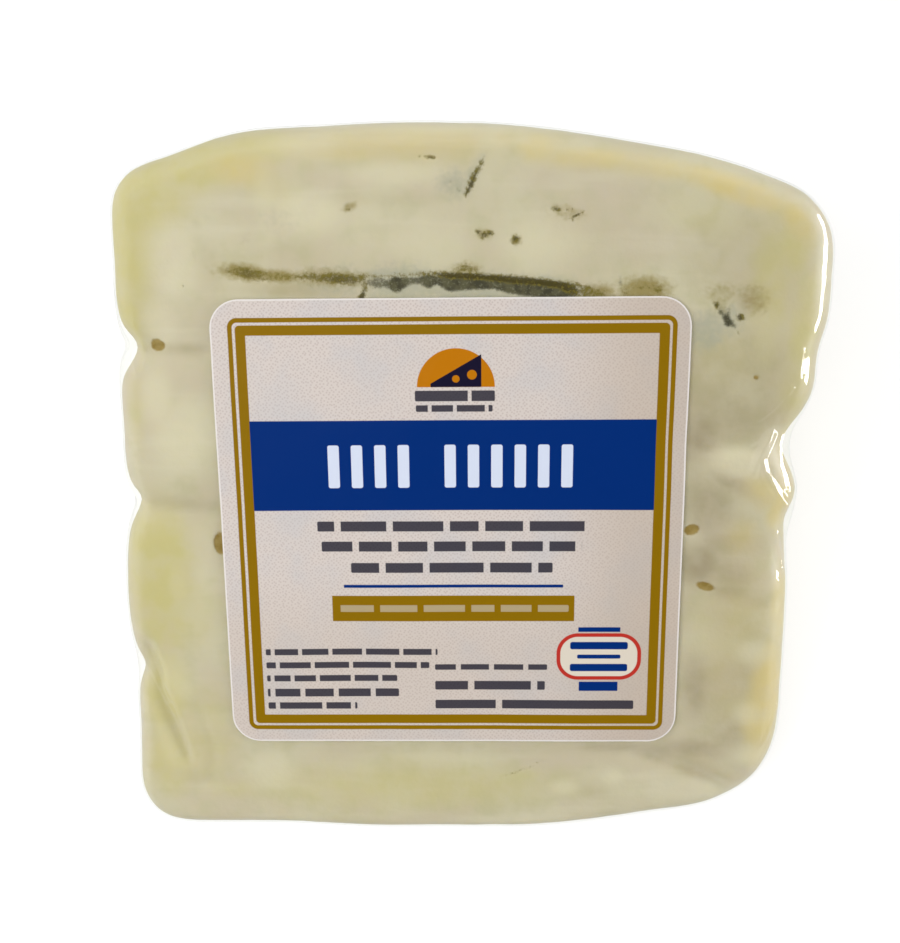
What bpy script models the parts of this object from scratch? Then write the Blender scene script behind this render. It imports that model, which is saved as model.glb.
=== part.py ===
"""A wedge of blue cheese, shrink-wrapped in clear film, with a square label on its upper cut face.

The wedge lies on one cut face, and the other slopes up from the tip to the rind. X runs across the
wedge, from one flat face of the wheel to the other. Y runs from the tip to the rind, and Z is up.
The film hugs the cheese, so the two are one solid out to the film's outer face.
"""

import math

import bmesh
import bpy
import numpy as np
from mathutils import Matrix, Vector

MM = 0.001

# The wheel that the wedge was cut from, and the cut. Each wave in the rind's line is its middle across,
# half width and height
WHEEL_RADIUS = 108.7 * MM
WEDGE_ANGLE = math.radians(22.5)
RIND_CROWN_RADIUS = 152 * MM
RIND_CROWN_X = -5 * MM
RIND_WAVES = ((-38.5 * MM, 5.5 * MM, -0.7 * MM), (-27 * MM, 7 * MM, 0.6 * MM), (34 * MM, 9 * MM, 0.35 * MM))
TIP_CUT = 7.9 * MM
TIP_SLANT = 3.6 * MM
TIP_SLANT_RANGE = (8 * MM, 42 * MM)
LEFT_TIP_SLANT = 0.7 * MM
LEFT_TIP_SLANT_RANGE = (8 * MM, 30 * MM)

# The wheel's flat faces, each as its distance from the label's middle at the tip and at the rind
LEFT_AT_TIP = 47.2 * MM
LEFT_AT_RIND = 45.0 * MM
RIGHT_AT_TIP = 47.7 * MM
RIGHT_AT_RIND = 51.0 * MM
RIGHT_SHOULDER = (58 * MM, 84 * MM)

# Roundings: along every edge, and at the four corners seen from above
EDGE_ROUND = 4.5 * MM
TIP_FULLNESS = 0.96
CORNER_ROUNDS = {"tip_left": 7.8 * MM, "tip_right": 14 * MM, "rind_left": 6 * MM, "rind_right": 7 * MM}

# Pinches in the flat faces, where the film draws in over a crack, and swells, whose depth is below
# zero: side, distance from the apex, half width and depth. They fade towards the lower cut face.
PINCHES = (
    ("left", 80.0 * MM, 2.6 * MM, 0.6 * MM),
    ("left", 57.5 * MM, 3.6 * MM, 0.8 * MM),
    ("left", 44.0 * MM, 9.0 * MM, -0.9 * MM),
    ("left", 33.0 * MM, 3.0 * MM, 0.55 * MM),
    ("right", 78.0 * MM, 3.0 * MM, 1.0 * MM),
    ("right", 66.0 * MM, 3.8 * MM, 2.0 * MM),
    ("right", 59.0 * MM, 2.8 * MM, -0.8 * MM),
    ("right", 52.2 * MM, 3.0 * MM, 0.55 * MM),
)
PINCH_FADE = 0.6

# Valleys in the upper cut face: middle across and from the apex, way it runs from +X in degrees,
# half length, half width and depth
VALLEYS = (
    (-41 * MM, 79.7 * MM, -2, 9 * MM, 1.8 * MM, 0.55 * MM),
    (-41 * MM, 57.3 * MM, -3, 9 * MM, 2.2 * MM, 0.70 * MM),
    (-41 * MM, 26.5 * MM, -58, 8 * MM, 1.9 * MM, 0.75 * MM),
    (-37 * MM, 17.0 * MM, 62, 6 * MM, 1.7 * MM, 0.50 * MM),
    (37 * MM, 67.0 * MM, 12, 9 * MM, 3.0 * MM, 0.90 * MM),
    (42 * MM, 51.5 * MM, -24, 8 * MM, 2.4 * MM, 0.60 * MM),
    (40 * MM, 33.5 * MM, 74, 9 * MM, 2.0 * MM, 0.45 * MM),
    (32 * MM, 16.5 * MM, -16, 10 * MM, 2.2 * MM, 0.80 * MM),
    (10 * MM, 11.0 * MM, 8, 12 * MM, 2.0 * MM, 0.30 * MM),
)
FACE_DISH = 0.5 * MM
FACE_DISH_REACH = 34 * MM

# Label: a square sticker of thin plastic, whose middle lies this far from the apex
LABEL_SIDE = 63.5 * MM
LABEL_CORNER = 4.2 * MM
LABEL_THICKNESS = 0.25 * MM
LABEL_FROM_APEX = 54.2 * MM
LABEL_GAP = 0.3 * MM
LABEL_COLUMNS = 20
LABEL_CORNER_STEPS = 5

# Surface grid of the wedge: strips in each rounding and between the roundings
ROUND_STRIPS = 3
STRIPS_ACROSS = 30
STRIPS_ALONG = 32
STRIPS_IN_HEIGHT = 6
RELAX_ROUNDS = 6
PROJECT_STEPS = 6
PROBE = 0.02 * MM
FLAT_FOOT = 0.03 * MM


def blank_scene():
    """Removes every object, so that the model stands alone."""
    for thing in list(bpy.data.objects):
        bpy.data.objects.remove(thing, do_unlink=True)


def smooth_step(value, start, end):
    """0 before start, 1 after end, and an even rise between them."""
    share = np.clip((value - start) / (end - start), 0.0, 1.0)
    return share * share * (3.0 - 2.0 * share)


def round_meet(first, second, radius):
    """Joins two outside distances into one, with a fillet of that radius where they meet."""
    inside = np.minimum(-radius, np.maximum(first, second))
    return inside + np.hypot(np.maximum(first + radius, 0.0), np.maximum(second + radius, 0.0))


def from_apex(points):
    """Each point's distance from the apex line, which is the wheel's axis."""
    return np.hypot(points[:, 1], points[:, 2])


def climb(points):
    """0 on the lower cut face and 1 on the upper one."""
    return np.clip(np.arctan2(points[:, 2], points[:, 1]) / WEDGE_ANGLE, 0.0, 1.0)


def pinch_depth(side, reach, height):
    """How far the film draws in on a flat face, at these distances from the apex."""
    fade = 1.0 - PINCH_FADE * (1.0 - height)
    depth = np.zeros_like(reach)
    for name, middle, half_width, deepest in PINCHES:
        if name == side:
            depth += deepest * fade * np.exp(-(((reach - middle) / half_width) ** 2))
    return depth


def left_face(reach, height):
    """X of the wheel's flat face on the left."""
    width = LEFT_AT_TIP + (LEFT_AT_RIND - LEFT_AT_TIP) * reach / WHEEL_RADIUS
    return -(width - pinch_depth("left", reach, height))


def right_face(reach, height):
    """X of the wheel's flat face on the right, which widens in a shoulder towards the rind."""
    rise = smooth_step(reach, *RIGHT_SHOULDER)
    width = RIGHT_AT_TIP + (RIGHT_AT_RIND - RIGHT_AT_TIP) * rise
    return width - pinch_depth("right", reach, height)


def rind_radius(x):
    """The rind's distance from the apex: a shallow arc, highest near the middle of the wheel's side, with
    a few low waves."""
    offset = np.clip(np.abs(x - RIND_CROWN_X), 0.0, 0.9 * RIND_CROWN_RADIUS)
    radius = WHEEL_RADIUS - RIND_CROWN_RADIUS + np.sqrt(RIND_CROWN_RADIUS**2 - offset**2)
    for middle, half_width, height in RIND_WAVES:
        radius = radius + height * np.exp(-(((x - middle) / half_width) ** 2))
    return radius


def tip_reach(x):
    """The tip's distance from the apex, which the slanted cut takes back on the right, and a little on
    the left."""
    right, left = smooth_step(x, *TIP_SLANT_RANGE), smooth_step(-x, *LEFT_TIP_SLANT_RANGE)
    return TIP_CUT + TIP_SLANT * right + LEFT_TIP_SLANT * left


def face_relief(points):
    """How far the upper cut face lies below its plane: a faint dish under the label, and valleys."""
    x, reach = points[:, 0], from_apex(points)
    away = np.hypot(x, reach - LABEL_FROM_APEX)
    relief = FACE_DISH * np.exp(-((away / FACE_DISH_REACH) ** 2))
    for middle, from_tip, degrees, half_length, half_width, depth in VALLEYS:
        run, rise = math.cos(math.radians(degrees)), math.sin(math.radians(degrees))
        along = (x - middle) * run + (reach - from_tip) * rise
        across = (reach - from_tip) * run - (x - middle) * rise
        relief += depth * np.exp(-((along / half_length) ** 2) - (across / half_width) ** 2)
    return relief * smooth_step(climb(points), 0.45, 0.95)


def outside(points):
    """How far each point lies outside the film, negative inside it."""
    reach, height = from_apex(points), climb(points)
    left = left_face(reach, height) - points[:, 0]
    right = points[:, 0] - right_face(reach, height)
    rind = reach - rind_radius(points[:, 0])
    tip = tip_reach(points[:, 0]) - reach
    sides = np.maximum.reduce([
        round_meet(left, tip, CORNER_ROUNDS["tip_left"]),
        round_meet(right, tip, CORNER_ROUNDS["tip_right"]),
        round_meet(left, rind, CORNER_ROUNDS["rind_left"]),
        round_meet(right, rind, CORNER_ROUNDS["rind_right"]),
    ])
    lower = -points[:, 2]
    upper = points[:, 2] * math.cos(WEDGE_ANGLE) - points[:, 1] * math.sin(WEDGE_ANGLE)
    half_thickness = reach * math.sin(WEDGE_ANGLE / 2)
    edge = np.clip(TIP_FULLNESS * half_thickness, 0.2 * MM, EDGE_ROUND)
    return round_meet(sides, np.maximum(lower, upper), edge) + face_relief(points)


def slope_of(points):
    """The direction in which each point leaves the film, as unit vectors."""
    slope = np.empty_like(points)
    for axis in range(3):
        step = np.zeros(3)
        step[axis] = PROBE
        slope[:, axis] = outside(points + step) - outside(points - step)
    return slope / np.maximum(np.linalg.norm(slope, axis=1, keepdims=True), 1e-12)


def onto_film(points):
    """Moves points to the film's outer face, straight towards it."""
    for _ in range(PROJECT_STEPS):
        points = points - outside(points)[:, None] * slope_of(points)
    return points


def line_shares(length, first_round, last_round, strips):
    """Where the grid's lines lie along an edge of this length, as shares of it. The lines in a rounding
    are spaced so that they turn by equal angles once they are drawn onto it."""
    turns = [math.tan(math.radians(45) * n / ROUND_STRIPS) for n in range(1, ROUND_STRIPS + 1)]
    first = [first_round * (1 - turn) / length for turn in reversed(turns)]
    last = [1 - last_round * (1 - turn) / length for turn in turns]
    start, end = first_round / length, 1 - last_round / length
    middle = [start + (end - start) * n / strips for n in range(strips + 1)]
    return sorted(set(first[1:] + middle + last[:-1]))


def scored_block():
    """A unit block whose faces are cut into the grid's strips."""
    mesh = bmesh.new()
    bmesh.ops.create_cube(mesh, size=1.0, matrix=Matrix.Translation((0.5, 0.5, 0.5)))
    rind_height = WHEEL_RADIUS * WEDGE_ANGLE
    tip_round = TIP_CUT * math.sin(WEDGE_ANGLE / 2)
    shares = (
        line_shares(LEFT_AT_TIP + RIGHT_AT_TIP, EDGE_ROUND, EDGE_ROUND, STRIPS_ACROSS),
        line_shares(WHEEL_RADIUS - TIP_CUT, tip_round, EDGE_ROUND, STRIPS_ALONG),
        line_shares(rind_height, EDGE_ROUND, EDGE_ROUND, STRIPS_IN_HEIGHT),
    )
    for axis in range(3):
        normal = Vector((0.0, 0.0, 0.0))
        normal[axis] = 1.0
        for share in shares[axis]:
            everything = mesh.verts[:] + mesh.edges[:] + mesh.faces[:]
            bmesh.ops.bisect_plane(mesh, geom=everything, plane_co=normal * share, plane_no=normal)
    return mesh


def to_sharp_wedge(shares):
    """Maps the unit block to the wedge with sharp edges."""
    reach = TIP_CUT + (WHEEL_RADIUS - TIP_CUT) * shares[:, 1]
    height, angle = shares[:, 2], WEDGE_ANGLE * shares[:, 2]
    left, right = left_face(reach, height), right_face(reach, height)
    x = left + (right - left) * shares[:, 0]
    tip = tip_reach(x)
    reach = tip + (rind_radius(x) - tip) * shares[:, 1]
    return np.stack([x, reach * np.cos(angle), reach * np.sin(angle)], axis=1)


def relaxed(mesh, points):
    """Evens out the grid: each point moves halfway to its neighbours' middle, then back to the film."""
    pairs = np.array([[edge.verts[0].index, edge.verts[1].index] for edge in mesh.edges])
    counts = np.bincount(pairs.ravel(), minlength=len(points))[:, None]
    for _ in range(RELAX_ROUNDS):
        sums = np.zeros_like(points)
        np.add.at(sums, pairs[:, 0], points[pairs[:, 1]])
        np.add.at(sums, pairs[:, 1], points[pairs[:, 0]])
        points = onto_film((points + sums / counts) / 2)
    return points


def new_object(name, mesh, colour, roughness):
    """Turns a bmesh into a named object with its own plain material."""
    data = bpy.data.meshes.new(name)
    mesh.to_mesh(data)
    mesh.free()
    thing = bpy.data.objects.new(name, data)
    bpy.context.scene.collection.objects.link(thing)
    material = bpy.data.materials.new(name)
    material.use_nodes = True
    shader = material.node_tree.nodes["Principled BSDF"]
    shader.inputs["Base Color"].default_value = (*colour, 1.0)
    shader.inputs["Roughness"].default_value = roughness
    shader.inputs["Metallic"].default_value = 0.0
    data.materials.append(material)
    data.shade_smooth()
    data.set_sharp_from_angle(angle=math.radians(50))
    return thing


def place_points(mesh, points):
    """Gives the bmesh's vertices these places, in their order."""
    for vertex, place in zip(mesh.verts, points):
        vertex.co = place


def cheese_pack():
    """The wedge in its film, with a flat foot where it lies on its lower cut face."""
    mesh = scored_block()
    mesh.verts.index_update()
    shares = np.array([vertex.co[:] for vertex in mesh.verts])
    points = relaxed(mesh, onto_film(to_sharp_wedge(shares)))
    points[points[:, 2] < FLAT_FOOT, 2] = 0.0
    place_points(mesh, points)
    bmesh.ops.recalc_face_normals(mesh, faces=mesh.faces[:])
    return new_object("cheese_pack", mesh, colour=(0.79, 0.76, 0.58), roughness=0.12)


def onto_label_plane(across, up):
    """Points on the upper cut face's plane, from places measured from the label's middle."""
    reach = LABEL_FROM_APEX + up
    return np.stack([across, reach * math.cos(WEDGE_ANGLE), reach * math.sin(WEDGE_ANGLE)], axis=1)


def lifted(points, height):
    """Moves points square to the upper cut face until they lie this high above the film."""
    normal = np.array([0.0, -math.sin(WEDGE_ANGLE), math.cos(WEDGE_ANGLE)])
    for _ in range(PROJECT_STEPS):
        points = points - (outside(points) - height)[:, None] * normal
    return points


def label_outline():
    """Places round the label's edge, anticlockwise, with evenly stepped corners."""
    inner = LABEL_SIDE / 2 - LABEL_CORNER
    strips = np.linspace(-inner, inner, LABEL_COLUMNS - 1)
    outline = []
    for quarter in range(4):
        turn = math.radians(90) * quarter
        run, rise = math.cos(turn), math.sin(turn)
        edge = [(LABEL_SIDE / 2, strip) for strip in strips[:-1]]
        bends = [math.radians(90) * n / LABEL_CORNER_STEPS for n in range(LABEL_CORNER_STEPS)]
        edge += [(inner + LABEL_CORNER * math.cos(b), inner + LABEL_CORNER * math.sin(b)) for b in bends]
        outline += [(x * run - y * rise, x * rise + y * run) for x, y in edge]
    return outline


def label():
    """The sticker: a thin plate with round corners that follows the film under it."""
    mesh = bmesh.new()
    sheet = mesh.faces.new([mesh.verts.new((x, y, 0.0)) for x, y in label_outline()])
    inner = LABEL_SIDE / 2 - LABEL_CORNER
    for axis in range(2):
        normal = Vector((0.0, 0.0, 0.0))
        normal[axis] = 1.0
        for line in np.linspace(-inner, inner, LABEL_COLUMNS - 1):
            everything = mesh.verts[:] + mesh.edges[:] + mesh.faces[:]
            bmesh.ops.bisect_plane(mesh, geom=everything, plane_co=normal * line, plane_no=normal)
    bmesh.ops.triangulate(mesh, faces=mesh.faces[:])
    flat = np.array([vertex.co[:] for vertex in mesh.verts])
    under = lifted(onto_label_plane(flat[:, 0], flat[:, 1]), LABEL_GAP)
    place_points(mesh, under)
    top = bmesh.ops.extrude_face_region(mesh, geom=mesh.faces[:])["geom"]
    raised = [piece for piece in top if isinstance(piece, bmesh.types.BMVert)]
    rise = Vector((0.0, -math.sin(WEDGE_ANGLE), math.cos(WEDGE_ANGLE))) * LABEL_THICKNESS
    bmesh.ops.translate(mesh, verts=raised, vec=rise)
    bmesh.ops.recalc_face_normals(mesh, faces=mesh.faces[:])
    return new_object("label", mesh, colour=(0.80, 0.76, 0.73), roughness=0.4)


def centre_on_foot(things):
    """Moves everything so that the origin lies under the middle of the whole, at its foot."""
    corners = np.array([thing.matrix_world @ v.co for thing in things for v in thing.data.vertices])
    low, high = corners.min(axis=0), corners.max(axis=0)
    shift = Vector((-(low[0] + high[0]) / 2, -(low[1] + high[1]) / 2, -low[2]))
    for thing in things:
        thing.location = shift


def main():
    blank_scene()
    centre_on_foot([cheese_pack(), label()])


main()
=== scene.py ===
"""The looks of a wedge of blue cheese, shrink-wrapped in clear film, with a square label on its upper
cut face. Sizes are in metres. Places on the upper cut face are in millimetres from the label's middle:
across to the right, and up the slope towards the rind."""

import math

import bpy
import numpy as np
from mathutils import Matrix, Vector


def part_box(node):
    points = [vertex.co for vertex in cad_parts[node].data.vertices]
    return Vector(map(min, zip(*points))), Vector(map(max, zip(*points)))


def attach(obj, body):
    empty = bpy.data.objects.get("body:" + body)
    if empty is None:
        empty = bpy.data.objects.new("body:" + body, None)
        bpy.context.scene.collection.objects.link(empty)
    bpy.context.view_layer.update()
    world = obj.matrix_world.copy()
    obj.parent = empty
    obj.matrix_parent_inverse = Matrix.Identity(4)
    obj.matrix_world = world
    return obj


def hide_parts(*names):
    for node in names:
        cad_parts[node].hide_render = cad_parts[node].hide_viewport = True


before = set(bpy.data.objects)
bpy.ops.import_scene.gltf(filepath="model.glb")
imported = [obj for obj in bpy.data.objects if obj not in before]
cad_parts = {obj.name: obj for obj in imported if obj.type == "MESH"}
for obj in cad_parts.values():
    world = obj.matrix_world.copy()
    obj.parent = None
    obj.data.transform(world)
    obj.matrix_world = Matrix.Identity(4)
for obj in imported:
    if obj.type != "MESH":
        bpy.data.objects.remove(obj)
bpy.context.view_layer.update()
MM = 0.001

# The viewpoint. A phone's camera is held about 15 cm over the pack, nearly square to the labelled
# face and a little towards its tip, so the rind's side, the flat sides and the foot stay out of sight.
EYE = Vector((1.72, -23.03, 175.1)) * MM
AIM = Vector((-2.05, -0.52, 24.86)) * MM
LENS = 43.0
SENSOR = 36.0

camera_data = bpy.data.cameras.new("camera")
camera_data.lens = LENS
camera_data.sensor_width = SENSOR
camera_data.clip_start = 10 * MM
camera = bpy.data.objects.new("camera", camera_data)
bpy.context.scene.collection.objects.link(camera)
look = (AIM - EYE).normalized()
to_right = look.cross(Vector((0, 1, 0))).normalized()
turn = Matrix((to_right, to_right.cross(look), -look)).transposed()
camera.matrix_world = Matrix.Translation(EYE) @ turn.to_4x4()
bpy.context.scene.camera = camera
bpy.context.scene.view_settings.view_transform = "Standard"

# The cheese. A dense, cream-coloured wedge with a little blue-green mould along a piercing channel and
# in a few cracks, and small round holes with amber whey in them. It was cut from its wheel with a
# wire, so the cut face is smooth, and the film has pressed its edges round.
SLOPE = math.radians(22.5)
label_low, label_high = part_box("label")
FACE_MIDDLE = (label_low + label_high) / 2
FACE_TURN = Matrix.Rotation(-SLOPE, 3, "X")
FOOT_FLATNESS = 0.01 * MM
FILM_ROOM = 0.22 * MM
SWELL_DEPTH = 0.3 * MM
SWELL_SCALE = 12 * MM
CRUMB_DEPTH = 0.1 * MM
CRUMB_SCALE = 2.6 * MM
VEIN_SINK = 0.12 * MM
HOLE_SINK = 0.15 * MM
# How far round the small marks the faces are made finer, once and once more
MARK_ROOMS = (1.6, 1.2)
# How far the labelled face and its marks reach down over the pack's edges, in millimetres out of the face
FACE_FADE = (-7.0, -4.0)

# Veins of mould: lines of points across and up the slope, each with a half width and a strength
BLUE_VEINS = (
    ((-11.4, 33.9, 0.6, 0.45), (-9.4, 33.7, 0.8, 0.62), (-8.1, 33.6, 0.6, 0.7), (-6.9, 33.5, 1.05, 1.0),
     (-5.2, 33.9, 0.55, 0.75), (-4.0, 34.0, 0.6, 0.7), (-2.7, 33.9, 0.95, 0.92),
     (-1.5, 34.0, 0.65, 0.85), (0.2, 33.6, 1.1, 1.0), (3.0, 33.7, 1.0, 1.0), (6.0, 33.6, 0.85, 1.0),
     (8.3, 33.1, 1.0, 1.0), (11.5, 32.8, 1.1, 1.0), (14.4, 32.6, 1.1, 1.0), (16.2, 32.4, 0.8, 0.8)),
    ((5.1, 50.4, 0.1, 0.35), (4.4, 49.0, 0.3, 0.45), (3.4, 47.4, 0.4, 0.5), (2.3, 45.6, 0.35, 0.4)),
    ((35.0, 30.6, 0.3, 0.6), (35.6, 29.7, 0.25, 0.45), (36.2, 29.0, 0.5, 0.8), (36.6, 28.2, 0.6, 0.85),
     (37.4, 27.7, 0.3, 0.6)),
    ((36.6, 29.9, 0.3, 0.6), (36.3, 29.1, 0.35, 0.8)),
)
OLIVE_VEINS = (
    ((-28.9, 35.5, 0.45, 0.6), (-27.9, 35.4, 0.65, 0.72), (-26.4, 35.1, 0.85, 0.78),
     (-24.9, 34.8, 0.75, 0.72), (-23.4, 34.6, 0.6, 0.64), (-21.3, 34.5, 0.5, 0.6),
     (-19.6, 34.6, 0.5, 0.66), (-18.3, 34.6, 0.6, 0.74), (-16.8, 34.4, 0.65, 0.76),
     (-14.8, 34.3, 0.8, 0.82), (-12.6, 34.1, 0.8, 0.8), (-10.6, 34.4, 0.45, 0.65)),
    ((-11.2, 34.0, 0.4, 0.7), (-11.0, 32.9, 0.35, 0.85), (-11.5, 31.9, 0.5, 1.0)),
    ((-10.6, 34.6, 0.25, 0.5), (-6.0, 34.6, 0.3, 0.7), (-2.5, 34.9, 0.35, 0.8), (-0.2, 34.6, 0.5, 1.0),
     (2.5, 34.5, 0.55, 1.0), (5.2, 34.3, 0.5, 0.95), (8.1, 34.0, 0.6, 1.0), (11.5, 33.7, 0.55, 1.0),
     (14.3, 33.3, 0.6, 0.95), (16.0, 32.8, 0.95, 0.8), (18.0, 32.3, 1.0, 0.72),
     (19.7, 32.0, 0.7, 0.62)),
    ((1.0, 35.2, 0.4, 0.66), (2.0, 35.5, 0.7, 0.72), (3.5, 35.2, 0.45, 0.62)),
    ((4.9, 50.0, 0.14, 0.5), (4.3, 48.7, 0.3, 0.8), (3.5, 47.3, 0.36, 0.9), (2.9, 45.9, 0.46, 0.95),
     (2.3, 44.9, 0.34, 0.9)),
)

# Marks on the cut face: across, up the slope, half length, half width, turn in degrees, and strength
BLUE_SPOTS = (
    (1.3, 45.4, 0.5, 0.4, 0, 0.4), (0.4, 46.4, 0.35, 0.3, 0, 0.35), (22.3, 33.6, 0.35, 0.9, 0, 0.4),
    (35.5, 29.6, 0.4, 0.4, 0, 0.7),
)
OLIVE_SPOTS = (
    (-2.2, 49.5, 0.75, 0.25, -5, 0.8), (-3.6, 49.6, 0.25, 0.18, 0, 0.6),
    (3.9, 40.1, 0.5, 0.38, -20, 0.88), (4.6, 39.7, 0.65, 0.5, 15, 0.88), (5.3, 39.9, 0.5, 0.4, 0, 0.88),
    (8.7, 39.2, 0.65, 0.55, 25, 0.9), (8.4, 38.8, 0.3, 0.3, 0, 0.7), (13.9, 42.9, 0.7, 0.42, -5, 0.8),
    (15.3, 42.8, 0.18, 0.16, 0, 0.8), (15.9, 42.9, 0.16, 0.16, 0, 0.75),
    (16.5, 42.1, 0.95, 0.2, 25, 0.95), (16.0, 41.4, 0.2, 0.18, 0, 0.7),
    (-12.9, 43.1, 0.5, 0.22, 30, 0.45), (26.9, 32.7, 1.2, 0.55, -15, 0.6),
    (23.0, 32.4, 0.5, 1.1, 0, 0.45), (25.0, 32.9, 1.2, 0.6, 0, 0.45), (38.1, 28.9, 0.55, 0.55, 0, 1.0),
    (34.9, 30.5, 0.35, 0.7, 40, 0.85), (9.5, -36.8, 3.2, 0.2, 22, 0.4),
    (12.4, -35.3, 1.3, 0.2, 10, 0.35), (-35.0, 33.5, 0.2, 0.2, 0, 0.6),
    (-33.4, 37.6, 0.14, 0.8, 12, 0.4), (37.9, 26.9, 0.16, 0.4, 20, 0.5),
)
BLUE_HAZE = (
    (0.9, 46.2, 2.3, 1.8, 0, 0.65), (3.2, 47.4, 2.8, 0.9, 61, 0.5), (34.0, 27.2, 2.4, 2.6, 0, 0.75),
    (36.4, 28.6, 2.3, 2.0, 0, 0.65), (3.0, 33.0, 9.0, 2.2, -3, 0.8), (12.0, 32.4, 7.0, 2.0, -4, 0.8),
    (-6.5, 33.8, 5.6, 2.2, 0, 0.85), (-14.0, 34.0, 5.0, 1.9, 0, 0.6), (-22.0, 42.0, 4.0, 1.6, 0, 0.2),
)
OLIVE_HAZE = (
    (25.4, 32.6, 3.1, 1.5, 0, 1.0), (26.8, 32.5, 1.6, 1.0, 0, 1.0), (19.6, 32.1, 2.2, 1.2, 0, 0.8),
    (39.9, 31.2, 1.6, 1.8, 30, 0.5), (35.4, 30.4, 1.2, 1.3, 0, 0.4), (-26.6, 35.2, 3.4, 1.0, -6, 1.0),
    (-22.4, 34.7, 2.6, 0.8, -3, 0.95), (-15.5, 34.4, 4.8, 1.1, -3, 0.7),
    (-12.8, 43.4, 1.0, 0.5, 25, 0.7), (-26.6, 39.6, 1.4, 0.35, 15, 0.35),
    (15.2, 42.5, 2.2, 0.9, -10, 0.45), (4.6, 39.8, 1.1, 0.7, 0, 0.6), (8.7, 39.0, 0.7, 0.7, 0, 0.6),
    (2.3, 35.4, 1.8, 0.9, 0, 0.6), (35.6, 32.0, 2.2, 1.2, 0, 0.4),
)
WHEY_HOLES = (
    (-39.1, 25.7, 1.0, 0.75, -10, 1.0), (33.0, -0.2, 1.05, 0.75, 12, 1.0),
    (35.2, -8.4, 1.3, 0.62, -16, 1.0), (-32.1, -2.0, 1.0, 1.6, 0, 1.0), (40.6, 20.9, 0.4, 0.36, 0, 0.8),
)
# Darker olive-grey patches: partly the cheese's own tone, partly painted shade in the face's valleys and
# creases and down its right side
SHADOWY = (
    (38.5, -20.0, 6.5, 13.0, 0, 0.55), (-41.0, 33.0, 3.5, 8.5, 0, 0.5), (40.0, 22.0, 5.0, 7.0, 0, 0.4),
    (-20.0, 33.0, 7.0, 1.1, 0, 0.8), (36.0, 14.0, 5.0, 8.0, 0, 0.5), (36.5, -22.0, 4.0, 8.0, 0, 0.3),
    (38.5, 19.5, 8.5, 8.5, 0, 0.75), (37.0, 36.5, 7.5, 6.0, 0, 0.5), (43.0, 34.0, 2.8, 6.0, 0, 0.4),
    (19.5, 37.5, 8.5, 3.6, 0, 0.3), (-10.0, 44.4, 11.0, 1.0, 0, 0.4), (-31.6, 36.0, 2.0, 4.4, 10, 0.35),
    (-22.0, 37.4, 8.0, 1.8, -2, 0.35), (-37.5, 25.2, 6.0, 0.9, -2, 0.6),
    (-37.0, 3.7, 6.2, 1.1, -3, 0.6), (-37.0, 1.8, 5.0, 2.0, 0, 0.35), (-31.8, -1.0, 0.9, 6.0, 0, 0.6),
    (-34.5, 7.0, 3.2, 3.2, 0, 0.3), (-40.4, -27.5, 9.5, 0.8, -79, 0.55),
    (36.0, -5.0, 8.0, 14.0, 0, 0.4), (0.0, -33.2, 28.0, 1.1, 0, 0.35), (38.0, -24.0, 8.0, 12.0, 0, 0.3),
    (-8.0, -36.2, 4.0, 1.8, 0, 0.3),
)
# Brown patches: partly brown in the cheese, partly painted shade beside the label's right edge and in the
# creases low on the right
BROWNISH_AND_SHADE = (
    (33.4, 12.0, 2.6, 4.0, 0, 0.7), (39.9, 31.2, 2.2, 1.9, 30, 0.75), (38.0, 6.6, 4.8, 1.3, -32, 0.65),
    (35.0, 2.8, 3.8, 4.6, 0, 0.6), (34.2, -5.0, 3.0, 3.4, 0, 0.75), (38.6, -6.5, 3.2, 2.2, -20, 0.55),
    (42.0, -10.8, 3.4, 1.0, -8, 0.4), (38.5, -9.4, 2.6, 1.4, 0, 0.55), (34.4, -23.5, 1.9, 5.0, 0, 0.55),
    (40.0, -31.0, 3.0, 3.0, 0, 0.5), (34.5, -33.2, 5.0, 1.7, 0, 0.6), (30.0, -33.8, 4.4, 1.3, -8, 0.5),
    (35.0, -37.4, 3.8, 0.9, -22, 0.5), (29.0, -35.0, 3.0, 0.7, -20, 0.4),
    (24.0, -33.0, 6.0, 0.9, 0, 0.5), (20.3, -40.0, 2.2, 1.0, 0, 0.3), (35.0, -35.6, 6.5, 1.4, -26, 0.4),
    (33.4, 8.0, 1.8, 8.0, 0, 0.5), (37.5, -2.0, 4.5, 2.0, 0, 0.55), (36.5, 15.5, 5.0, 4.0, 0, 0.3),
    (39.5, -22.0, 4.0, 4.0, 0, 0.3),
)
PINKISH_SPOTS = (
    (-2.5, 46.4, 3.8, 1.6, 0, 0.4), (-12.6, 46.8, 4.8, 1.4, 0, 0.55), (12.0, 47.0, 3.8, 2.2, 0, 0.55),
    (22.0, 44.4, 6.5, 2.8, 0, 0.55), (15.5, -35.5, 6.0, 1.6, 0, 0.5), (26.0, 39.0, 5.5, 2.4, 0, 0.45),
    (-6.0, 40.5, 6.0, 2.0, 0, 0.3), (-35.0, 20.5, 2.4, 2.4, 0, 0.4), (35.0, -0.5, 3.5, 2.0, 0, 0.4),
)
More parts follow.
